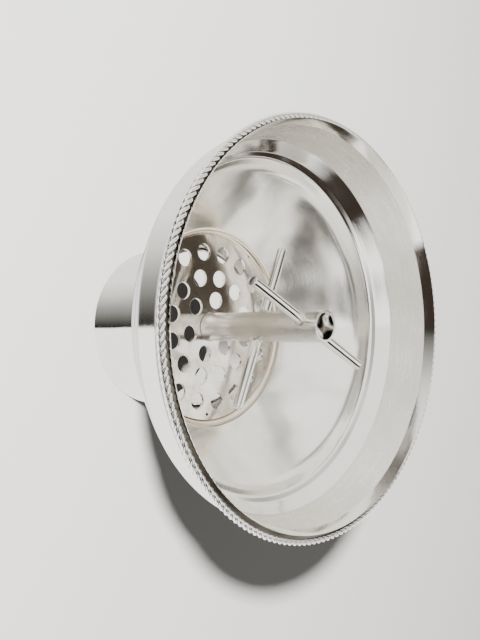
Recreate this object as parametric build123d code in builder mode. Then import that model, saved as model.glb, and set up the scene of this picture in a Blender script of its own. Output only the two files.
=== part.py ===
from build123d import *
import math
import os

# Funnel-shaped strainer head, standing on its neck with its mouth up.
# Origin: centre of the neck's open end. +Z runs up the axis to the mouth.
# +X is the side to which the rope border sits a little off centre.

# ---- Driving dimensions, in millimetres -------------------------------------

height = 79.2               # neck end to crest of the mouth ring
sheet = 0.7                 # spun sheet of the dome

# Mouth
mouth_crest_radius = 59.5   # middle of the mouth ring
mouth_ring_width = 1.2
mouth_ring_depth = 3.6
collar_end_radius = 56.8    # collar narrows towards its lower end
collar_depth = 16.2         # below the crest
collar_thickness = 0.48

# Dome, as radii of the outer face at depths below the crest
shoulder_radius, shoulder_depth = 58.95, 15.3
step_radius, step_depth = 54.5, 21.2
ledge_radius, ledge_depth = 52.95, 22.2
waist_radius, waist_depth = 51.2, 27.0
waist_curve = 12.0          # rounds the steep top of the bowl into its cone
root_radius, root_depth = 27.7, 57.6
skirt_depth = 60.4          # lower edge of the dome, around the neck

# Neck
neck_radius = 27.6
neck_wall = 0.7
neck_spigot_top = 23.4      # height of the end soldered inside the dome
neck_spigot_gap = 0.03

# Rope border: a round rope on a plain backing strip with a bead along its foot
rope_ring_radius = 61.38    # centre of the rope's section
rope_radius = 1.15
rope_depth = 1.83           # centre of the section, below the crest
rope_back_radius = 60.68    # flat inner face of the backing strip
rope_offset = 0.55          # the ring sits off centre, towards +X
strip_thickness = 0.32
bead_radius = 0.3
bead_depth = 4.45           # centre of the bead, below the crest

# Strainer plate
plate_top_depth = 50.6
plate_thickness = 1.0
seat_ring_rise = 1.8        # above the plate, whose edge is bevelled like the cone
seat_ring_thickness = 0.42
seat_ledge_radius = 29.9
seat_ledge_thickness = 1.0
hole_radius = 2.8
hole_rings = [(9.4, 6, -16.3), (17.0, 12, -15.0), (25.5, 18, 5.9)]

# Post and cross rods
post_radius = 4.7625        # 3/8 inch tube
post_bore_radius = 4.0
post_top = 78.1
post_below_plate = 0.6
rod_radius = 1.5875         # 1/8 inch rod
lower_rod_height, lower_rod_angle, lower_rod_reach = 51.9, -23.3, 27.3
upper_rod_height, upper_rod_angle, upper_rod_reach = 71.9, 62.4, 27.4
rod_fillet = 0.75           # size of the solder at each rod joint

# ---- Derived values ---------------------------------------------------------

plate_top = height - plate_top_depth
plate_bottom = plate_top - plate_thickness
mouth_inner_radius = mouth_crest_radius - mouth_ring_width / 2
mouth_outer_radius = mouth_crest_radius + mouth_ring_width / 2
mouth_ring_bottom = height - mouth_ring_depth
skirt_bottom = height - skirt_depth
cone_slope = (waist_radius - root_radius) / (root_depth - waist_depth)
sheet_across_cone = sheet * math.hypot(1, cone_slope)
seat_across_cone = seat_ring_thickness * math.hypot(1, cone_slope)


def cone_inside(z):
    """Radius of the dome's inner face in its lower, straight cone."""
    depth = height - z
    return waist_radius - cone_slope * (depth - waist_depth) - sheet_across_cone


def seat_inside(z):
    """Radius of the seat ring's inner face, parallel to the cone."""
    return cone_inside(z) - seat_across_cone


os.makedirs("parts", exist_ok=True)


def save(builder, name):
    """Label a finished piece and write it as its own STEP file."""
    builder.part.label = name
    export_step(builder.part, f"parts/{name}.step")


# ---- Dome shell: straight-sided shoulder, stepped ledge, cone, short skirt ----

with BuildPart() as dome_shell:
    with BuildSketch(Plane.XZ):
        with BuildLine():
            FilletPolyline(
                (mouth_outer_radius, mouth_ring_bottom),
                (shoulder_radius, height - shoulder_depth),
                (step_radius, height - step_depth),
                (ledge_radius, height - ledge_depth),
                (waist_radius, height - waist_depth),
                (root_radius, height - root_depth),
                (root_radius, skirt_bottom),
                radius=[7.0, 1.6, 1.2, waist_curve, 3.0],
            )
            offset(amount=sheet, side=Side.RIGHT)
        make_face()
    revolve(axis=Axis.Z)
    split(bisect_by=Plane.XY.offset(mouth_ring_bottom), keep=Keep.BOTTOM)
save(dome_shell, "dome_shell")

# ---- Mouth ring: rounded wire that closes the rim ------------------------------

with BuildPart() as mouth_ring:
    with BuildSketch(Plane.XZ):
        with BuildLine():
            EllipticalCenterArc(
                (mouth_crest_radius, mouth_ring_bottom),
                mouth_ring_width / 2,
                mouth_ring_depth,
                start_angle=0,
                arc_size=180,
            )
            Line((mouth_inner_radius, mouth_ring_bottom), (mouth_outer_radius, mouth_ring_bottom))
        make_face()
    revolve(axis=Axis.Z)
save(mouth_ring, "mouth_ring")

# ---- Mouth collar: thin tapered sleeve inside the shoulder ---------------------

with BuildPart() as mouth_collar:
    with BuildSketch(Plane.XZ):
        with BuildLine():
            Polyline(
                (mouth_inner_radius, mouth_ring_bottom),
                (collar_end_radius, height - collar_depth),
                (collar_end_radius + collar_thickness, height - collar_depth),
                (mouth_inner_radius + collar_thickness, mouth_ring_bottom),
                close=True,
            )
        make_face()
    revolve(axis=Axis.Z)
    fillet(mouth_collar.edges().group_by(Axis.Z)[0], 0.2)
save(mouth_collar, "mouth_collar")

# ---- Rope border: rope, backing strip and foot bead, a little off centre -------

rope_axis = Axis((rope_offset, 0, 0), (0, 0, 1))
rope_height = height - rope_depth
bead_height = height - bead_depth

with BuildPart() as rope_border:
    with BuildSketch(Plane.XZ):
        with Locations((rope_offset + rope_ring_radius, rope_height)):
            Circle(rope_radius)
        with Locations((rope_offset + rope_back_radius + bead_radius, bead_height)):
            Circle(bead_radius)
        with Locations((rope_offset + rope_back_radius, bead_height)):
            Rectangle(strip_thickness, rope_height - bead_height, align=(Align.MIN, Align.MIN))
        with Locations((rope_offset + rope_back_radius, rope_height)):
            Rectangle(2 * rope_radius, 4 * rope_radius, align=(Align.MAX, Align.CENTER), mode=Mode.SUBTRACT)
    revolve(axis=rope_axis)
save(rope_border, "rope_border")

# ---- Neck sleeve: straight tube with a spigot inside the dome's skirt ----------

spigot_radius = root_radius - sheet - neck_spigot_gap

with BuildPart() as neck_sleeve:
    with BuildSketch(Plane.XZ):
        with BuildLine():
            Polyline(
                (neck_radius - neck_wall - sheet, 0),
                (neck_radius, 0),
                (neck_radius, skirt_bottom),
                (spigot_radius, skirt_bottom),
                (spigot_radius, neck_spigot_top),
                (neck_radius - neck_wall - sheet, neck_spigot_top),
                close=True,
            )
        make_face()
    revolve(axis=Axis.Z)
    fillet(neck_sleeve.edges().group_by(Axis.Z)[0], 0.3)
save(neck_sleeve, "neck_sleeve")

# ---- Seat ring: conical band round the plate, with a ledge beneath it ----------

seat_top = plate_top + seat_ring_rise
seat_bottom = plate_bottom - seat_ledge_thickness

with BuildPart() as plate_seat_ring:
    with BuildSketch(Plane.XZ):
        with BuildLine():
            Polyline(
                (cone_inside(seat_top), seat_top),
                (cone_inside(seat_bottom), seat_bottom),
                (seat_ledge_radius, seat_bottom),
                (seat_ledge_radius, plate_bottom),
                (seat_inside(plate_bottom), plate_bottom),
                (seat_inside(seat_top), seat_top),
                close=True,
            )
        make_face()
    revolve(axis=Axis.Z)
save(plate_seat_ring, "plate_seat_ring")

# ---- Strainer plate: bevelled disc with three rings of holes -------------------

with BuildPart() as strainer_plate:
    with BuildSketch(Plane.XZ):
        with BuildLine():
            Polyline(
                (0, plate_bottom),
                (seat_inside(plate_bottom), plate_bottom),
                (seat_inside(plate_top), plate_top),
                (0, plate_top),
                close=True,
            )
        make_face()
    revolve(axis=Axis.Z)
    with BuildSketch(Plane.XY.offset(plate_top)):
        Circle(post_radius)
        for ring_radius, count, start in hole_rings:
            with PolarLocations(ring_radius, count, start_angle=start):
                Circle(hole_radius)
    extrude(amount=-plate_thickness, mode=Mode.SUBTRACT)
save(strainer_plate, "strainer_plate")

# ---- Cross rods: plain round bar, square cut -----------------------------------


def rod_plane(rod_height, rod_angle):
    """Plane through the post's axis, facing along a rod."""
    angle = math.radians(rod_angle)
    along = (math.cos(angle), math.sin(angle), 0)
    return Plane(origin=(0, 0, rod_height), x_dir=(0, 0, 1), z_dir=along)


lower_rod_plane = rod_plane(lower_rod_height, lower_rod_angle)
upper_rod_plane = rod_plane(upper_rod_height, upper_rod_angle)

with BuildPart() as lower_cross_rod:
    with BuildSketch(lower_rod_plane):
        Circle(rod_radius)
    extrude(amount=lower_rod_reach, both=True)
    chamfer(lower_cross_rod.edges().filter_by(GeomType.CIRCLE), 0.15)
save(lower_cross_rod, "lower_cross_rod")

with BuildPart() as upper_cross_rod:
    with BuildSketch(upper_rod_plane):
        Circle(rod_radius)
    extrude(amount=upper_rod_reach, both=True)
    chamfer(upper_cross_rod.edges().filter_by(GeomType.CIRCLE), 0.15)
save(upper_cross_rod, "upper_cross_rod")

# ---- Centre post: open tube, cross-drilled for the two rods --------------------

post_bottom = plate_bottom - post_below_plate

with BuildPart() as centre_post:
    with BuildSketch(Plane.XY.offset(post_bottom)):
        Circle(post_radius)
        Circle(post_bore_radius, mode=Mode.SUBTRACT)
    extrude(amount=post_top - post_bottom)
    chamfer(centre_post.edges().group_by(Axis.Z)[-1], 0.15)
    for plane in (lower_rod_plane, upper_rod_plane):
        with BuildSketch(plane):
            Circle(rod_radius)
        extrude(amount=2 * post_radius, both=True, mode=Mode.SUBTRACT)
save(centre_post, "centre_post")

# ---- Solder: a small fillet on each side of the post at each rod ---------------


def rod_solder(plane):
    """Cone-shaped ring around a rod, seated on the post's wall."""
    reach = post_radius + rod_fillet
    with BuildPart() as solder:
        for side in (1, -1):
            face = Plane(origin=plane.origin, x_dir=plane.x_dir, z_dir=plane.z_dir * side)
            with BuildSketch(face.offset(post_bore_radius)):
                Circle(rod_radius + 2 * rod_fillet)
            with BuildSketch(face.offset(reach)):
                Circle(rod_radius + 0.1)
            loft()
        with BuildSketch(plane):
            Circle(rod_radius)
        extrude(amount=2 * reach, both=True, mode=Mode.SUBTRACT)
        with BuildSketch(Plane.XY):
            Circle(post_radius)
        extrude(amount=height, mode=Mode.SUBTRACT)
    return solder


lower_rod_solder = rod_solder(lower_rod_plane)
save(lower_rod_solder, "lower_rod_solder")

upper_rod_solder = rod_solder(upper_rod_plane)
save(upper_rod_solder, "upper_rod_solder")

# ---- Solder under the plate, where the post comes through ----------------------

with BuildPart() as post_solder:
    with BuildSketch(Plane.XZ):
        with BuildLine():
            Polyline(
                (post_radius, post_bottom),
                (post_radius, plate_bottom),
                (post_radius + 2 * post_below_plate, plate_bottom),
                close=True,
            )
        make_face()
    revolve(axis=Axis.Z)
save(post_solder, "post_solder")

# ---- Solder between the rope border and the rim --------------------------------

solder_top = mouth_ring_bottom + 2.0
solder_bottom = mouth_ring_bottom - 0.5
wall_slope = (mouth_outer_radius - shoulder_radius) / (shoulder_depth - mouth_ring_depth)
wall_at_solder_bottom = mouth_outer_radius - wall_slope * (mouth_ring_bottom - solder_bottom)
solder_limit = rope_back_radius + rope_offset

with BuildPart() as rope_solder:
    with BuildSketch(Plane.XZ):
        with BuildLine():
            Polyline(
                (mouth_outer_radius, solder_top),
                (mouth_outer_radius, mouth_ring_bottom),
                (wall_at_solder_bottom, solder_bottom),
                (solder_limit, solder_bottom),
                (solder_limit, solder_top),
                close=True,
            )
        make_face()
    revolve(axis=Axis.Z)
    with BuildSketch(Plane.XY.offset(solder_bottom)):
        with Locations((rope_offset, 0)):
            Circle(rope_back_radius)
    extrude(amount=solder_top - solder_bottom, mode=Mode.INTERSECT)
save(rope_solder, "rope_solder")
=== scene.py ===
import math

import bmesh
import bpy
from mathutils import Matrix, Vector, noise


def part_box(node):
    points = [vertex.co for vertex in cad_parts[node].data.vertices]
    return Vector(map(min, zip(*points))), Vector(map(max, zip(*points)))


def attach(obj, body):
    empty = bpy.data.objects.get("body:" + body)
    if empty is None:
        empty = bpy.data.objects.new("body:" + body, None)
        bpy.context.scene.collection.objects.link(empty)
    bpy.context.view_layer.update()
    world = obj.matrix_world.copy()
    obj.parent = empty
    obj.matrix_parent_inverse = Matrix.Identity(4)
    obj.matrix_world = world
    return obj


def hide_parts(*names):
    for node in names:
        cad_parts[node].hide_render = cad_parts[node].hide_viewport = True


# A silver-plated strainer head, standing on its neck with its mouth up.
# Every length below is in millimetres unless its name says otherwise, and the
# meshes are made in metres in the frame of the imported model: the origin is the
# centre of the neck's open end, and +Z runs up the axis to the mouth.

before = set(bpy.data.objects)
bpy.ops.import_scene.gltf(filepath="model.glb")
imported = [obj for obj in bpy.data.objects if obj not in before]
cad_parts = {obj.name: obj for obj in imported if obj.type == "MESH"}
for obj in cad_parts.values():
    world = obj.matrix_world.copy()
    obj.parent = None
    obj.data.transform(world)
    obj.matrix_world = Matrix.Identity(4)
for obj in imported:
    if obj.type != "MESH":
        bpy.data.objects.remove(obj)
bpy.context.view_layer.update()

MM = 0.001


def node_box(name):
    """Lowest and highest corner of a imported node, in millimetres."""
    low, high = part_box(name)
    return [v / MM for v in low], [v / MM for v in high]


# ---- Sizes taken from the frame ---------------------------------------------

HEIGHT = node_box("mouth_ring")[1][2]
MOUTH_RING_BOTTOM = node_box("mouth_ring")[0][2]
MOUTH_OUTER = node_box("mouth_ring")[1][0]
COLLAR_BOTTOM = node_box("mouth_collar")[0][2]
NECK_RADIUS = node_box("neck_sleeve")[1][0]
SPIGOT_TOP = node_box("neck_sleeve")[1][2]
SKIRT_BOTTOM = node_box("dome_shell")[0][2]
PLATE_BOTTOM = node_box("strainer_plate")[0][2]
PLATE_TOP = node_box("strainer_plate")[1][2]
SEAT_TOP = node_box("plate_seat_ring")[1][2]
SEAT_BOTTOM = node_box("plate_seat_ring")[0][2]
POST_BOTTOM = node_box("centre_post")[0][2]
POST_TOP = node_box("centre_post")[1][2]
POST_RADIUS = node_box("centre_post")[1][0]

rope_low, rope_high = node_box("rope_border")
ROPE_CENTRE_X = (rope_low[0] + rope_high[0]) / 2
ROPE_RADIUS = 1.15
ROPE_RING = (rope_high[0] - rope_low[0]) / 2 - ROPE_RADIUS
ROPE_HEIGHT = rope_high[2] - ROPE_RADIUS
ROPE_BACK = 60.68           # flat inner face of the rope's backing strip
ROPE_FOOT = rope_low[2]     # lowest point of the bead along its foot

# ---- Other driving sizes, the same as in the solid model ---------------------

SHEET = 0.7
MOUTH_RING_WIDTH = 1.2
COLLAR_END_RADIUS = 56.8
COLLAR_THICKNESS = 0.48
POST_BORE = 4.0
ROD_RADIUS = 1.5875
HOLE_RADIUS = 2.8
HOLE_RINGS = [(9.4, 6, -16.3), (17.0, 12, -15.0), (25.5, 18, 5.9)]
RODS = {
    "lower_cross_rod": {"height": 51.9, "angle": -23.3, "reach": 27.3},
    "upper_cross_rod": {"height": 71.9, "angle": 62.4, "reach": 27.4},
}

ROUND = 384                 # steps around the large turned pieces


# ---- Mesh helpers --------------------------------------------------------------

def finish_mesh(name, verts, faces, sharp_angle=38.0):
    """New smooth-shaded object from vertices in millimetres."""
    mesh = bpy.data.meshes.new(name)
    mesh.from_pydata([(x * MM, y * MM, z * MM) for x, y, z in verts], [], faces)
    mesh.validate()
    work = bmesh.new()
    work.from_mesh(mesh)
    bmesh.ops.recalc_face_normals(work, faces=work.faces)
    work.to_mesh(mesh)
    work.free()
    mesh.shade_smooth()
    mesh.set_sharp_from_angle(angle=math.radians(sharp_angle))
    piece = bpy.data.objects.new(name, mesh)
    bpy.context.scene.collection.objects.link(piece)
    return piece


def rounded(points, radii, step=5.0):
    """Open outline through the points, with a tangent arc at each inner corner."""
    path = [Vector(points[0])]
    for before, corner, after, radius in zip(points, points[1:], points[2:], radii):
        corner = Vector(corner)
        back = (Vector(before) - corner).normalized()
        ahead = (Vector(after) - corner).normalized()
        half_gap = back.angle(ahead) / 2
        turn = math.pi - 2 * half_gap
        cut = radius * math.tan(turn / 2)
        centre = corner + (back + ahead).normalized() * radius / math.sin(half_gap)
        start = corner + back * cut - centre
        side = 1 if back.cross(ahead) < 0 else -1
        count = max(2, math.ceil(math.degrees(turn) / step), math.ceil(radius * turn / 1.0))
        for i in range(count + 1):
            spin = Matrix.Rotation(side * turn * i / count, 2)
            path.append(centre + spin @ start)
    path.append(Vector(points[-1]))
    return path


def resample(path, longest=1.2):
    """The same outline, with long runs divided evenly."""
    result = [path[0]]
    for start, end in zip(path, path[1:]):
        count = max(1, math.ceil((end - start).length / longest))
        result += [start.lerp(end, (i + 1) / count) for i in range(count)]
    return result


def parallel(path, distance):
    """Outline moved sideways; a positive distance goes to the left of its direction."""
    moved = []
    for i, point in enumerate(path):
        along = (path[min(i + 1, len(path) - 1)] - path[max(i - 1, 0)]).normalized()
        moved.append(point + Vector((-along.y, along.x)) * distance)
    return moved


def lathe(name, outline, steps=ROUND, centre_x=0.0, wobble=0.0, seed=0.0, sharp_angle=38.0):
    """Closed outline of (radius, height) points, spun about a vertical axis.
    wobble is how far, in millimetres, the metal departs from true round."""
    verts = []
    for i in range(steps):
        angle = 2 * math.pi * i / steps
        cos, sin = math.cos(angle), math.sin(angle)
        for radius, height in outline:
            where = Vector((cos * 1.6, sin * 1.6, height * 0.045 + seed))
            r = radius + wobble * noise.noise(where)
            verts.append((centre_x + r * cos, r * sin, height))
    count = len(outline)
    faces = []
    for i in range(steps):
        j = (i + 1) % steps
        for k in range(count):
            n = (k + 1) % count
            faces.append((i * count + k, j * count + k, j * count + n, i * count + n))
    return finish_mesh(name, verts, faces, sharp_angle)


# ---- Material helpers ----------------------------------------------------------

class Graph:
    """A material's node tree, with short calls to add and join nodes."""

    def __init__(self, name):
        self.material = bpy.data.materials.new(name)
        self.material.use_nodes = True
        self.nodes = self.material.node_tree.nodes
        self.links = self.material.node_tree.links
        self.shader = self.nodes["Principled BSDF"]

    def add(self, kind, inputs=None, **settings):
        made = self.nodes.new(kind)
        for key, value in settings.items():
            setattr(made, key, value)
        for key, value in (inputs or {}).items():
            if isinstance(value, bpy.types.NodeSocket):
                self.links.new(value, made.inputs[key])
            else:
                made.inputs[key].default_value = value
        return made

    def math(self, operation, a, b=0.0, clamp=False):
        return self.add("ShaderNodeMath", {0: a, 1: b}, operation=operation, use_clamp=clamp).outputs[0]

    def ramp(self, value, stops):
        """Smoothly mapped value; stops are (position, grey or colour)."""
        made = self.add("ShaderNodeValToRGB", {"Fac": value})
        elements = made.color_ramp.elements
        while len(elements) < len(stops):
            elements.new(0.5)
        for element, (position, colour) in zip(elements, stops):
            element.position = position
            if isinstance(colour, (int, float)):
                colour = (colour, colour, colour)
            element.color = (*colour, 1.0)
        return made.outputs["Color"]

    def noise(self, vector, scale, detail=4.0, roughness=0.55):
        made = self.add(
            "ShaderNodeTexNoise",
            {"Vector": vector, "Scale": scale, "Detail": detail, "Roughness": roughness},
        )
        return made.outputs["Fac"]

    def mix(self, factor, a, b, blend="MIX"):
        made = self.add("ShaderNodeMix", data_type="RGBA", blend_type=blend)
        for key, value in ((0, factor), (6, a), (7, b)):
            if isinstance(value, bpy.types.NodeSocket):
                self.links.new(value, made.inputs[key])
            elif key == 0:
                made.inputs[key].default_value = value
            else:
                made.inputs[key].default_value = (*value, 1.0)
        return made.outputs[2]

    def position(self):
        return self.add("ShaderNodeTexCoord").outputs["Object"]

    def turned(self, around, along, centre_x=0.0):
        """Coordinates that run round the axis: around sets how fast they change
        along the circle, and along how fast they change across it."""
        point = self.add("ShaderNodeVectorMath", {0: self.position(), 1: (-centre_x * MM, 0, 0)})
        parts = self.add("ShaderNodeSeparateXYZ", {0: point.outputs[0]})
        flat = self.add("ShaderNodeCombineXYZ", {"X": parts.outputs["X"], "Y": parts.outputs["Y"]})
        length = self.add("ShaderNodeVectorMath", {0: flat.outputs[0]}, operation="LENGTH")
        unit = self.add("ShaderNodeVectorMath", {0: flat.outputs[0]}, operation="NORMALIZE")
        spread = self.add("ShaderNodeVectorMath", {0: unit.outputs[0], "Scale": around}, operation="SCALE")
        across = self.math("SUBTRACT", parts.outputs["Z"], length.outputs["Value"])
        across = self.math("MULTIPLY", across, along)
        lift = self.add("ShaderNodeCombineXYZ", {"Z": across})
        return self.add("ShaderNodeVectorMath", {0: spread.outputs[0], 1: lift.outputs[0]}).outputs[0]

    def bump(self, height, strength, distance, under=None):
        inputs = {"Height": height, "Strength": strength, "Distance": distance}
        if under is not None:
            inputs["Normal"] = under
        return self.add("ShaderNodeBump", inputs).outputs["Normal"]

    def plug(self, **sockets):
        """Sets or links the shader's own sockets; spaces are written as underscores."""
        for key, value in sockets.items():
            socket = self.shader.inputs[key.replace("_", " ")]
            if isinstance(value, bpy.types.NodeSocket):
                self.links.new(value, socket)
            else:
                socket.default_value = value


def silver(name, bright, dull, smooth, rough, scratches, waviness, around=3.0, across=900.0, metal=1.0):
    """Plated silver: colour between bright and dull, roughness between smooth and
    rough, fine scratches that run round the axis, and a slight waviness."""
    g = Graph(name)
    where = g.position()
    cloud = g.noise(where, 55.0, 5.0, 0.6)
    blotch = g.ramp(cloud, [(0.35, 0.0), (0.68, 1.0)])
    lines = g.noise(g.turned(around, across), 1.0, 6.0, 0.7)
    haze = g.noise(where, 900.0, 3.0, 0.6)
    line_mask = g.ramp(lines, [(0.42, 0.0), (0.62, 1.0)])
    wear = g.math("ADD", g.math("MULTIPLY", blotch, 0.6), g.math("MULTIPLY", line_mask, 0.4))
    colour = g.mix(wear, bright, dull)
    spread = g.math("ADD", g.math("MULTIPLY", wear, rough - smooth), smooth)
    grain = g.math("MULTIPLY", g.math("SUBTRACT", haze, 0.5), (rough - smooth) * 0.6)
    roughness = g.math("ADD", spread, grain, clamp=True)
    slow = g.bump(g.noise(where, 28.0, 2.0, 0.5), waviness, 0.004)
    fine = g.bump(lines, scratches, 0.00005, slow)
    specks = g.bump(haze, scratches * 0.5, 0.00003, fine)
    g.plug(Base_Color=colour, Metallic=metal, Roughness=roughness, Normal=specks)
    return g.material


MIRROR = silver("silver_mirror", (0.93, 0.915, 0.88), (0.87, 0.85, 0.81), 0.04, 0.10, 0.20, 0.08)
LEDGE = silver("silver_ledge", (0.92, 0.905, 0.87), (0.84, 0.82, 0.78), 0.06, 0.14, 0.35, 0.10)
BOWL = silver("silver_bowl", (0.92, 0.91, 0.88), (0.85, 0.83, 0.79), 0.11, 0.20, 0.45, 0.20, metal=0.95)
SATIN = silver("silver_satin", (0.93, 0.91, 0.87), (0.82, 0.79, 0.73), 0.22, 0.38, 0.8, 0.08, metal=0.78)
BAR = silver("silver_bar", (0.92, 0.905, 0.875), (0.76, 0.74, 0.69), 0.07, 0.20, 0.5, 0.12, 5.0, 500.0)
POST = silver("silver_post", (0.88, 0.86, 0.81), (0.70, 0.67, 0.61), 0.14, 0.30, 0.6, 0.20, 160.0, 40.0)
SOLDER = silver("solder", (0.86, 0.84, 0.80), (0.66, 0.63, 0.58), 0.18, 0.38, 0.8, 0.9)
SEAT = silver("seat_brass", (0.92, 0.86, 0.74), (0.78, 0.69, 0.54), 0.16, 0.30, 0.5, 0.2)
# Painted shade: a near-black silver laid on the gap behind the collar and on the crack under the rope,
# where shade falls.
PAINTED_SHADE_CREVICE = silver("silver_painted_crevice_shade", (0.20, 0.18, 0.155), (0.05, 0.042, 0.035), 0.35, 0.60, 0.5, 0.5)


# ---- Dome shell ---------------------------------------------------------------------

DOME_OUTLINE = [
    (MOUTH_OUTER, MOUTH_RING_BOTTOM),
    (58.95, HEIGHT - 15.3),
    (54.5, HEIGHT - 21.2),
    (52.95, HEIGHT - 22.2),
    (51.2, HEIGHT - 27.0),
    (27.7, HEIGHT - 57.6),
    (27.7, SKIRT_BOTTOM),
]
DOME_CORNERS = [7.0, 1.6, 1.2, 12.0, 3.0]
BOWL_TOP = HEIGHT - 23.6


def make_dome():
    outer = resample(rounded(DOME_OUTLINE, DOME_CORNERS))
    inner = parallel(outer, -SHEET)
    inner[0] = Vector((MOUTH_OUTER - SHEET, MOUTH_RING_BOTTOM))
    inner[-1].y = SKIRT_BOTTOM
    outline = outer + inner[::-1]
    dome = lathe("dome", outline, wobble=0.10, seed=3.0)
    dome.data.materials.append(MIRROR)
    dome.data.materials.append(BOWL)
    dome.data.materials.append(LEDGE)
    for face in dome.data.polygons:
        k = face.index % len(outline)
        if k >= len(outer):
            face.material_index = 2 if outline[k].y > BOWL_TOP else 1
    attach(dome, "root")
    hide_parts("dome_shell")
    return inner


inner_wall = make_dome()


def wall_radius(z):
    """Radius of the dome's inner face at a height, in its lower cone."""
    for low, high in zip(inner_wall[::-1], inner_wall[::-1][1:]):
        if low.y <= z <= high.y:
            t = (z - low.y) / (high.y - low.y)
            return low.x + (high.x - low.x) * t
    raise ValueError("no wall at that height")


# ---- Mouth ring and collar ---------------------------------------------------------

CREST_INSET = 0.08          # the lip flares from its foot to a crest near the outside
CREST_DROP = 0.25           # outer edge of the crest, below the top


def make_mouth_ring():
    corners = [
        (MOUTH_OUTER - MOUTH_RING_WIDTH, MOUTH_RING_BOTTOM),
        (MOUTH_OUTER - CREST_INSET, HEIGHT),
        (MOUTH_OUTER, HEIGHT - CREST_DROP),
        (MOUTH_OUTER, MOUTH_RING_BOTTOM),
    ]
    crown = resample(rounded(corners, [0.02, 0.06], 12.0), 0.5)
    ring = lathe("rim", crown, wobble=0.04, seed=9.0)
    ring.data.materials.append(MIRROR)
    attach(ring, "root")
    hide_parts("mouth_ring")


def make_collar():
    top, bottom = MOUTH_RING_BOTTOM, COLLAR_BOTTOM
    inner_top = MOUTH_OUTER - MOUTH_RING_WIDTH
    corners = [
        (inner_top + 0.12, top),
        (inner_top, top - 0.12),
        (COLLAR_END_RADIUS, bottom),
        (COLLAR_END_RADIUS + COLLAR_THICKNESS, bottom),
        (inner_top + COLLAR_THICKNESS, top),
    ]
    outline = resample(rounded(corners, [0.1, 0.18, 0.18]), 0.8)
    collar = lathe("collar", outline, wobble=0.08, seed=5.0)
    collar.data.materials.append(SATIN)
    collar.data.materials.append(PAINTED_SHADE_CREVICE)
    # The collar's back face, in the gap against the shell, takes the near-black painted shade.
    for face in collar.data.polygons:
        point = outline[face.index % len(outline)]
        slope = (inner_top - COLLAR_END_RADIUS) / (top - bottom)
        if point.x > COLLAR_END_RADIUS + slope * (point.y - bottom) + COLLAR_THICKNESS / 2:
            face.material_index = 1
    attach(collar, "root")
    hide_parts("mouth_collar")


make_mouth_ring()
make_collar()

# ---- Rope border -------------------------------------------------------------------

ROPE_LOBES = 180
ROPE_LOBE_STEPS = 12
ROPE_STRANDS = 3            # lobes passed in one turn round the rope's section
ROPE_GROOVE = 0.60          # depth between lobes
STRIP_THICKNESS = 0.32
BEAD_RADIUS = 0.3


def rope_material():
    """Painted shade: bright on the lobes, darkened in the grooves and behind the strip where shade falls.
    """
    g = Graph("rope_silver_painted_shade")
    groove = g.add("ShaderNodeAttribute", attribute_name="groove").outputs["Fac"]
    haze = g.noise(g.position(), 700.0, 3.0)
    groove_shade = g.math("MULTIPLY", groove, g.math("ADD", haze, 0.5), clamp=True)
    mask = g.ramp(groove_shade, [(0.45, 0.0), (0.85, 1.0)])
    # Painted shade: near-black in the grooves between lobes and behind the strip.
    colour = g.mix(mask, (0.91, 0.90, 0.87), (0.05, 0.045, 0.038))
    rough = g.math("ADD", g.math("MULTIPLY", mask, 0.35), 0.09)
    normal = g.bump(haze, 0.3, 0.00003)
    g.plug(Base_Color=colour, Metallic=1.0, Roughness=rough, Normal=normal)
    return g.material


def rope_section():
    """Section of the border as (radius, height, turn of the strand, lobe weight)."""
    half = math.acos((ROPE_BACK - ROPE_RING) / ROPE_RADIUS)
    points = []
    arc_steps = 40
    low = -1.05
    for i in range(arc_steps + 1):
        turn = low + (half - low) * i / arc_steps
        weight = min(1.0, (turn - low) / 0.5)
        points.append((
            ROPE_RING + ROPE_RADIUS * math.cos(turn),
            ROPE_HEIGHT + ROPE_RADIUS * math.sin(turn),
            turn,
            weight,
        ))
    foot = ROPE_FOOT + BEAD_RADIUS
    strip = ROPE_BACK + STRIP_THICKNESS
    top = points[-1][1]
    for i in range(1, 9):
        points.append((ROPE_BACK, top + (foot - top) * i / 8, half, 0.0))
    for i in range(1, 13):
        turn = math.pi + math.pi * 1.45 * i / 12
        points.append((
            ROPE_BACK + BEAD_RADIUS * (1 + math.cos(turn)),
            foot + BEAD_RADIUS * math.sin(turn),
            low,
            0.0,
        ))
    points.append((strip + 0.06, foot + BEAD_RADIUS * 1.1, low, 0.0))
    points.append((strip + 0.05, foot + BEAD_RADIUS * 1.8, low, 0.0))
    return points


def make_rope():
    section = rope_section()
    rows = len(section)
    around = ROPE_LOBES * ROPE_LOBE_STEPS
    pitch = 2 * math.pi / ROPE_LOBES
    verts = []
    grooves = []
    for i in range(around):
        turn = 2 * math.pi * i / around
        swell = 1 + 0.12 * noise.noise(Vector((math.cos(turn) * 40, math.sin(turn) * 40, 7.0)))
        phase = (i / ROPE_LOBE_STEPS) % 1.0
        across = abs(2 * phase - 1)                # 1 in a groove, 0 on a crest
        round_off = across ** 1.9
        for radius, height, strand, weight in section:
            sink = ROPE_GROOVE * swell * round_off * weight
            angle = turn - strand * ROPE_STRANDS * pitch / (2 * math.pi)
            if weight:
                radius -= sink * math.cos(strand)
                height -= sink * math.sin(strand)
            verts.append((ROPE_CENTRE_X + radius * math.cos(angle), radius * math.sin(angle), height))
            # Painted shade weight: 0.8 behind the strip, rising towards each groove between the lobes.
            behind = 0.8 if radius < ROPE_BACK + 0.05 else 0.0
            grooves.append(max(behind, across ** 3 * weight))
    faces = []
    for i in range(around):
        j = (i + 1) % around
        for k in range(rows):
            n = (k + 1) % rows
            faces.append((i * rows + k, j * rows + k, j * rows + n, i * rows + n))
    rope = finish_mesh("rope", verts, faces, 180.0)
    depth = rope.data.attributes.new("groove", "FLOAT", "POINT")
    depth.data.foreach_set("value", grooves)
    rope.data.materials.append(rope_material())
    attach(rope, "root")
    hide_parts("rope_border")


make_rope()

# ---- Neck --------------------------------------------------------------------------

SPIGOT_GAP = 0.03


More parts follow.
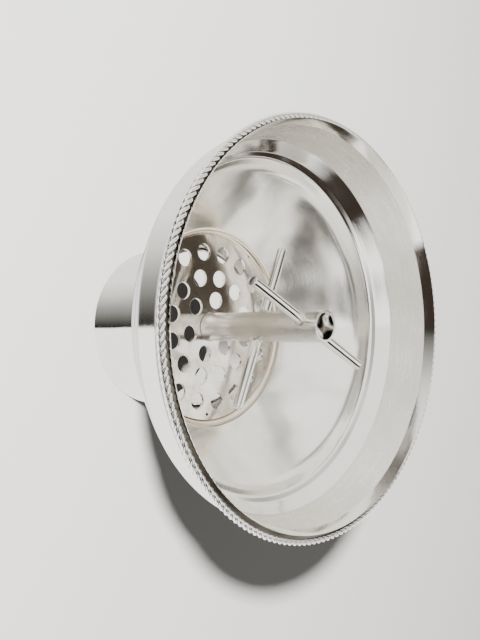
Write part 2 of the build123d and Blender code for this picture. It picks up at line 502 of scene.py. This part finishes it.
def make_neck():
    bore = NECK_RADIUS - 2 * SHEET
    spigot = NECK_RADIUS - SHEET - SPIGOT_GAP
    corners = [
        (bore, (SKIRT_BOTTOM + SPIGOT_TOP) / 2),
        (bore, 0.0),
        (NECK_RADIUS, 0.0),
        (NECK_RADIUS, SKIRT_BOTTOM),
        (spigot, SKIRT_BOTTOM),
        (spigot, SPIGOT_TOP),
        (bore, SPIGOT_TOP),
        (bore, (SKIRT_BOTTOM + SPIGOT_TOP) / 2),
    ]
    outline = resample(rounded(corners, [0.3, 0.35, 0.06, 0.05, 0.1, 0.2]))[:-1]
    neck = lathe("neck", outline, wobble=0.07, seed=12.0)
    neck.data.materials.append(MIRROR)
    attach(neck, "root")
    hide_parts("neck_sleeve")


make_neck()

# ---- Seat ring: band with a raised line at each edge ---------------------------------

SEAT_LEDGE_RADIUS = 29.9


def make_seat_ring():
    ridge = 0.26
    reach = Vector((wall_radius(SEAT_TOP), SEAT_TOP)) - Vector((wall_radius(PLATE_TOP), PLATE_TOP))
    up_wall = reach.normalized()
    inward = Vector((-up_wall.y, up_wall.x))
    wall_top = Vector((wall_radius(SEAT_TOP), SEAT_TOP))
    wall_bottom = Vector((wall_radius(SEAT_BOTTOM), SEAT_BOTTOM))
    path = []
    stops = [(0.0, 0.10), (0.10, 0.34), (0.20, 0.42), (0.30, 0.34), (0.40, 0.24), (0.58, 0.24),
             (0.68, 0.30), (0.80, 0.42), (0.92, 0.40), (1.04, 0.30)]
    length = reach.length
    for t, stand in stops:
        path.append(wall_top - up_wall * length * t + inward * stand)
    path += [
        Vector((SEAT_LEDGE_RADIUS + 1.0, PLATE_BOTTOM)),
        Vector((SEAT_LEDGE_RADIUS, PLATE_BOTTOM - ridge / 2)),
        Vector((SEAT_LEDGE_RADIUS, SEAT_BOTTOM + ridge / 2)),
        Vector((SEAT_LEDGE_RADIUS + ridge, SEAT_BOTTOM)),
        wall_bottom,
        wall_top,
    ]
    ring = lathe("seat_ring", path, wobble=0.05, seed=21.0)
    ring.data.materials.append(SEAT)
    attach(ring, "root")
    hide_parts("plate_seat_ring")


make_seat_ring()

# ---- Strainer plate ------------------------------------------------------------------

PLATE_EDGE = 31.5
HOLE_EDGE = 0.10            # rounding of the hole edges
PITS = [(29.5, -2.0, 0.55), (5.6, 16.9, 0.60), (27.0, 12.9, 0.22), (-25.4, 19.2, 0.8)]


def plate_material():
    """Tarnished plate: mottled, hazy, with a few dark pits."""
    g = Graph("plate_tarnished")
    where = g.position()
    mottle = g.noise(where, 160.0, 6.0, 0.62)
    broad = g.noise(where, 38.0, 3.0, 0.5)
    stain = g.ramp(g.math("MULTIPLY", mottle, g.math("ADD", broad, 0.5)), [(0.36, 0.0), (0.66, 1.0)])
    colour = g.mix(stain, (0.78, 0.75, 0.69), (0.52, 0.47, 0.40))
    dark = None
    wander = g.noise(where, 1500.0, 2.0)
    for x, y, radius in PITS:
        gap = g.add(
            "ShaderNodeVectorMath",
            {0: where, 1: (x * MM, y * MM, PLATE_TOP * MM)},
            operation="DISTANCE",
        ).outputs["Value"]
        edge = g.math("ADD", g.math("MULTIPLY", wander, radius * 0.9 * MM), radius * 0.5 * MM)
        inside = g.math("LESS_THAN", gap, edge)
        dark = inside if dark is None else g.math("MAXIMUM", dark, inside)
    colour = g.mix(dark, colour, (0.02, 0.017, 0.014))
    rough = g.math("ADD", g.math("MULTIPLY", stain, 0.06), 0.05)
    rough = g.math("ADD", rough, g.math("MULTIPLY", dark, 0.4), clamp=True)
    slow = g.bump(g.noise(where, 60.0, 2.0), 0.05, 0.001)
    fine = g.bump(mottle, 0.4, 0.00005, slow)
    g.plug(Base_Color=colour, Metallic=1.0, Roughness=rough, Normal=fine)
    return g.material


def ring_points(radius, count):
    return [
        (radius * math.cos(2 * math.pi * i / count), radius * math.sin(2 * math.pi * i / count))
        for i in range(count)
    ]


def make_plate():
    shape = bpy.data.curves.new("plate_outline", "CURVE")
    shape.dimensions = "2D"
    shape.fill_mode = "BOTH"
    thickness = PLATE_TOP - PLATE_BOTTOM
    shape.extrude = (thickness / 2 - HOLE_EDGE) * MM
    shape.bevel_depth = HOLE_EDGE * MM
    shape.bevel_resolution = 3
    shape.offset = -HOLE_EDGE * MM
    loops = [(0.0, 0.0, PLATE_EDGE, 256), (0.0, 0.0, POST_RADIUS + 0.12, 96)]
    for ring_radius, count, start in HOLE_RINGS:
        for i in range(count):
            angle = math.radians(start + 360.0 * i / count)
            loops.append((ring_radius * math.cos(angle), ring_radius * math.sin(angle), HOLE_RADIUS, 48))
    for x, y, radius, count in loops:
        spline = shape.splines.new("POLY")
        spline.points.add(count - 1)
        spline.use_cyclic_u = True
        for point, (u, v) in zip(spline.points, ring_points(radius, count)):
            point.co = ((x + u) * MM, (y + v) * MM, 0.0, 1.0)
    holder = bpy.data.objects.new("plate_outline", shape)
    bpy.context.scene.collection.objects.link(holder)
    bpy.context.view_layer.update()
    mesh = bpy.data.meshes.new_from_object(holder.evaluated_get(bpy.context.evaluated_depsgraph_get()))
    bpy.data.objects.remove(holder)
    mesh.transform(Matrix.Translation((0, 0, (PLATE_TOP + PLATE_BOTTOM) / 2 * MM)))
    work = bmesh.new()
    work.from_mesh(mesh)
    bmesh.ops.remove_doubles(work, verts=work.verts, dist=1e-6)
    bmesh.ops.recalc_face_normals(work, faces=work.faces)
    work.to_mesh(mesh)
    work.free()
    mesh.shade_smooth()
    for face in mesh.polygons:
        if abs(face.normal.z) > 0.999:
            face.use_smooth = False
    mesh.materials.clear()
    mesh.materials.append(plate_material())
    plate = bpy.data.objects.new("plate", mesh)
    bpy.context.scene.collection.objects.link(plate)
    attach(plate, "root")
    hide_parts("strainer_plate")


make_plate()

# ---- Post and cross rods -------------------------------------------------------------

FERRULE_FOOT = 70.3         # fine joint line near the post's open end
JOINT_DEPTH = 0.14
JOINT_WIDTH = 0.20
JOINT_BEVEL = 0.04


def make_post():
    middle = (POST_TOP + POST_BOTTOM) / 2
    corners = [
        (POST_BORE, middle),
        (POST_BORE, POST_BOTTOM),
        (POST_RADIUS, POST_BOTTOM),
        (POST_RADIUS, FERRULE_FOOT),
        (POST_RADIUS - JOINT_DEPTH, FERRULE_FOOT + JOINT_BEVEL),
        (POST_RADIUS - JOINT_DEPTH, FERRULE_FOOT + JOINT_WIDTH - JOINT_BEVEL),
        (POST_RADIUS, FERRULE_FOOT + JOINT_WIDTH),
        (POST_RADIUS, POST_TOP),
        (POST_BORE, POST_TOP),
        (POST_BORE, middle),
    ]
    outline = resample(rounded(corners, [0.1, 0.1, 0.01, 0.01, 0.01, 0.01, 0.18, 0.15]), 1.5)[:-1]
    post = lathe("post", outline, steps=128, wobble=0.03, seed=30.0)
    post.data.materials.append(POST)
    post.data.materials.append(BAR)
    for face in post.data.polygons:
        if outline[face.index % len(outline)].y > FERRULE_FOOT + JOINT_WIDTH / 2:
            face.material_index = 1
    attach(post, "root")
    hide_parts("centre_post")


def make_rod(node):
    rod = RODS[node]
    reach, edge = rod["reach"], 0.22
    steps = 64
    stations = [(0.0, -reach), (ROD_RADIUS - edge, -reach)]
    for i in range(1, 5):
        angle = math.pi / 2 * i / 4
        stations.append((
            ROD_RADIUS - edge + edge * math.sin(angle),
            -reach + edge - edge * math.cos(angle),
        ))
    runs = 40
    for i in range(1, runs):
        stations.append((ROD_RADIUS, -reach + edge + (2 * reach - 2 * edge) * i / runs))
    stations += [(radius, -along) for radius, along in stations[5::-1]]
    verts = []
    for radius, along in stations:
        for i in range(steps if radius else 1):
            angle = 2 * math.pi * i / steps
            shake = 0.025 * noise.noise(Vector((along * 0.35, math.cos(angle), math.sin(angle))))
            r = radius + (shake if radius else 0.0)
            verts.append((along, r * math.cos(angle), r * math.sin(angle)))
    faces = [(0, 1 + (i + 1) % steps, 1 + i) for i in range(steps)]
    for row in range(len(stations) - 3):
        a, b = 1 + row * steps, 1 + (row + 1) * steps
        for i in range(steps):
            j = (i + 1) % steps
            faces.append((a + i, a + j, b + j, b + i))
    last = len(verts) - 1
    ring = last - steps
    faces += [(last, ring + i, ring + (i + 1) % steps) for i in range(steps)]
    spin = Matrix.Rotation(math.radians(rod["angle"]), 3, "Z")
    placed = [spin @ Vector(v) + Vector((0, 0, rod["height"])) for v in verts]
    piece = finish_mesh(node.replace("cross_rod", "bar"), placed, faces, 50.0)
    piece.data.materials.append(BAR)
    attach(piece, "root")
    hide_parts(node)


def make_rod_solder(node, solder_node):
    """Saddle-shaped fillet on each side of the post, around a rod."""
    rod = RODS[node]
    size, around, across = 0.85, 48, 8
    verts, faces = [], []
    spin = Matrix.Rotation(math.radians(rod["angle"]), 3, "Z")
    for side in (1, -1):
        base = len(verts)
        for i in range(around):
            angle = 2 * math.pi * i / around
            where = Vector((math.cos(angle) * 1.5, math.sin(angle) * 1.5, side * 3.0))
            lump = 1 + 0.25 * noise.noise(where)
            reach = size * lump
            profile = []
            for k in range(across + 1):
                t = math.pi / 2 * k / across
                radius = ROD_RADIUS + reach * (1 - math.sin(t)) - 0.02 * (k == across)
                lift = reach * (1 - math.cos(t)) - 0.05 * (k == 0)
                profile.append((radius, lift))
            profile.append((ROD_RADIUS - 0.05, -0.3))
            profile.append((ROD_RADIUS + reach * 0.7, -0.3))
            for radius, lift in profile:
                off = radius * math.sin(angle)
                wall = math.sqrt(POST_RADIUS ** 2 - off ** 2)
                point = Vector((side * (wall + lift), off, radius * math.cos(angle)))
                verts.append(spin @ point + Vector((0, 0, rod["height"])))
        rows = across + 3
        for i in range(around):
            j = (i + 1) % around
            for k in range(rows):
                n = (k + 1) % rows
                this, following = base + i * rows, base + j * rows
                faces.append((this + k, following + k, following + n, this + n))
    piece = finish_mesh(solder_node.replace("solder", "fillet"), verts, faces, 60.0)
    piece.data.materials.append(SOLDER)
    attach(piece, "root")
    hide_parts(solder_node)


make_post()
make_rod("lower_cross_rod")
make_rod("upper_cross_rod")
make_rod_solder("lower_cross_rod", "lower_rod_solder")
make_rod_solder("upper_cross_rod", "upper_rod_solder")

# ---- Hidden solder: the imported solids stay; the post's gets a solder finish, the rope's the near-black painted shade of the crack under the rope ---

# rope_solder: painted shade in the crack under the rope; post_solder: solder finish.
for name, finish in (("rope_solder", PAINTED_SHADE_CREVICE), ("post_solder", SOLDER)):
    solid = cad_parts[name]
    solid.data.materials.clear()
    solid.data.materials.append(finish)

# ---- Floor -----------------------------------------------------------------------------

def floor_material():
    g = Graph("floor_pale")
    where = g.position()
    grain = g.noise(where, 900.0, 3.0)
    broad = g.noise(where, 6.0, 2.0)
    colour = g.mix(broad, (0.80, 0.795, 0.775), (0.84, 0.835, 0.82))
    normal = g.bump(grain, 0.3, 0.0002)
    g.plug(Base_Color=colour, Roughness=0.9, Specular_IOR_Level=0.0, Normal=normal)
    return g.material


def make_floor():
    bpy.ops.mesh.primitive_grid_add(x_subdivisions=8, y_subdivisions=8, size=4.0)
    floor = bpy.context.object
    floor.name = "floor"
    floor.data.materials.append(floor_material())
    floor.visible_glossy = False


make_floor()

# ---- Studio light ------------------------------------------------------------------------
# The metal mirrors a painted studio, laid out with +X as "down": a white table on the
# +X side, a dark band along the plane x = 0 that pales towards -X, open sky on the -Y
# side, and dark ground and a dark figure low on that side. Only mirrored rays that
# have met no matt surface see it; all others see a dim, even grey.

WHITE = (2.35, 2.32, 2.25)
DARK = (0.05, 0.037, 0.030)


def step_mask(g, value, low, high):
    """Rises from 0 to 1 as value, a part of a direction, goes from low to high."""
    centred = g.math("ADD", g.math("MULTIPLY", value, 0.5), 0.5)
    return g.ramp(centred, [(low * 0.5 + 0.5, 0.0), (high * 0.5 + 0.5, 1.0)])


def make_world():
    world = bpy.data.worlds.new("studio")
    bpy.context.scene.world = world
    world.use_nodes = True
    g = Graph.__new__(Graph)
    g.nodes, g.links = world.node_tree.nodes, world.node_tree.links
    back = g.nodes["Background"]
    ray = g.add("ShaderNodeTexCoord").outputs["Generated"]
    parts = g.add("ShaderNodeSeparateXYZ", {0: ray})
    x, y, z = parts.outputs["X"], parts.outputs["Y"], parts.outputs["Z"]
    rise = g.math("MULTIPLY", x, -1.0)
    far_side = step_mask(g, y, -0.30, 0.15)
    upper = step_mask(g, z, 0.10, 0.36)
    faster = g.math("ADD", g.math("MULTIPLY", step_mask(g, y, -0.5, 0.5), 1.4), 1.0)
    quick = g.math("MULTIPLY", rise, faster)
    low_sky = g.ramp(quick, [
        (0.00, (0.012, 0.011, 0.010)),
        (0.03, (0.035, 0.033, 0.030)),
        (0.16, (0.22, 0.215, 0.200)),
        (0.30, (0.50, 0.49, 0.465)),
        (0.55, (1.20, 1.18, 1.13)),
        (0.85, (1.75, 1.72, 1.66)),
    ])
    far_sky = g.ramp(rise, [
        (0.00, (0.10, 0.082, 0.066)),
        (0.22, (0.13, 0.11, 0.09)),
        (0.45, (0.60, 0.58, 0.54)),
        (0.80, (1.80, 1.77, 1.70)),
    ])
    sky = g.mix(g.math("MULTIPLY", far_side, upper), low_sky, far_sky)
    open_sky = g.math("MULTIPLY", g.math("SUBTRACT", 1.0, far_side), upper)
    sky = g.mix(open_sky, sky, (1.9, 1.88, 1.82))
    band = g.math("SUBTRACT", step_mask(g, z, 0.18, 0.34), step_mask(g, z, 0.50, 0.58))
    near_ground = g.math("MULTIPLY", step_mask(g, x, 0.15, 0.32), band)
    far_ground = g.math("MULTIPLY", step_mask(g, x, 0.45, 0.56), step_mask(g, z, 0.28, 0.40))
    far_ground = g.math("MULTIPLY", far_ground, step_mask(g, y, -0.35, -0.25))
    ground = g.math("MAXIMUM", near_ground, far_ground)
    table = g.mix(ground, WHITE, DARK)
    scene = g.mix(g.math("GREATER_THAN", x, 0.0), sky, table)
    scene = g.mix(step_mask(g, z, 0.92, 0.97), scene, (0.62, 0.60, 0.56))
    scene = g.mix(step_mask(g, z, -0.96, -0.91), (1.7, 1.68, 1.62), scene)
    figure = g.add("ShaderNodeVectorMath", {0: ray, 1: (0.35, -0.90, 0.22)}, operation="DOT_PRODUCT")
    scene = g.mix(step_mask(g, figure.outputs["Value"], 0.87, 0.91), scene, DARK)
    path = g.add("ShaderNodeLightPath").outputs
    direct = g.math("LESS_THAN", path["Diffuse Depth"], 0.5)
    mirrored = g.math("MULTIPLY", path["Is Glossy Ray"], direct)
    g.links.new(g.mix(mirrored, (0.16, 0.158, 0.153), scene), back.inputs["Color"])
    back.inputs["Strength"].default_value = 1.0


def make_key_light():
    data = bpy.data.lights.new("key", "AREA")
    data.shape = "DISK"
    data.size = 0.09
    data.energy = 45.0
    data.color = (1.0, 0.985, 0.96)
    key = bpy.data.objects.new("key", data)
    bpy.context.scene.collection.objects.link(key)
    target = Vector((0, 0, 0.03))
    key.location = target + Vector((-0.42, -0.67, 0.76))
    key.rotation_euler = (target - key.location).to_track_quat("-Z", "Y").to_euler()
    key.visible_glossy = False


make_world()
make_key_light()

# ---- Camera ----------------------------------------------------------------------------
# It looks down into the mouth, turned on its side: the axis runs across the picture.

CAMERA_PLACE = (-0.16, -172.81, 213.90)
CAMERA_RIGHT = Vector((0.00842, 0.70375, 0.71040))
CAMERA_UP = Vector((-0.99993, 0.0, 0.01185))


def make_camera():
    data = bpy.data.cameras.new("camera")
    data.lens = 41.84
    data.sensor_width = 36.0
    data.sensor_fit = "AUTO"
    data.clip_start = 0.005
    data.clip_end = 20.0
    camera = bpy.data.objects.new("camera", data)
    bpy.context.scene.collection.objects.link(camera)
    back = CAMERA_RIGHT.cross(CAMERA_UP)
    turn = Matrix((CAMERA_RIGHT, CAMERA_UP, back)).transposed().to_4x4()
    camera.matrix_world = Matrix.Translation(Vector(CAMERA_PLACE) * MM) @ turn
    bpy.context.scene.camera = camera


make_camera()
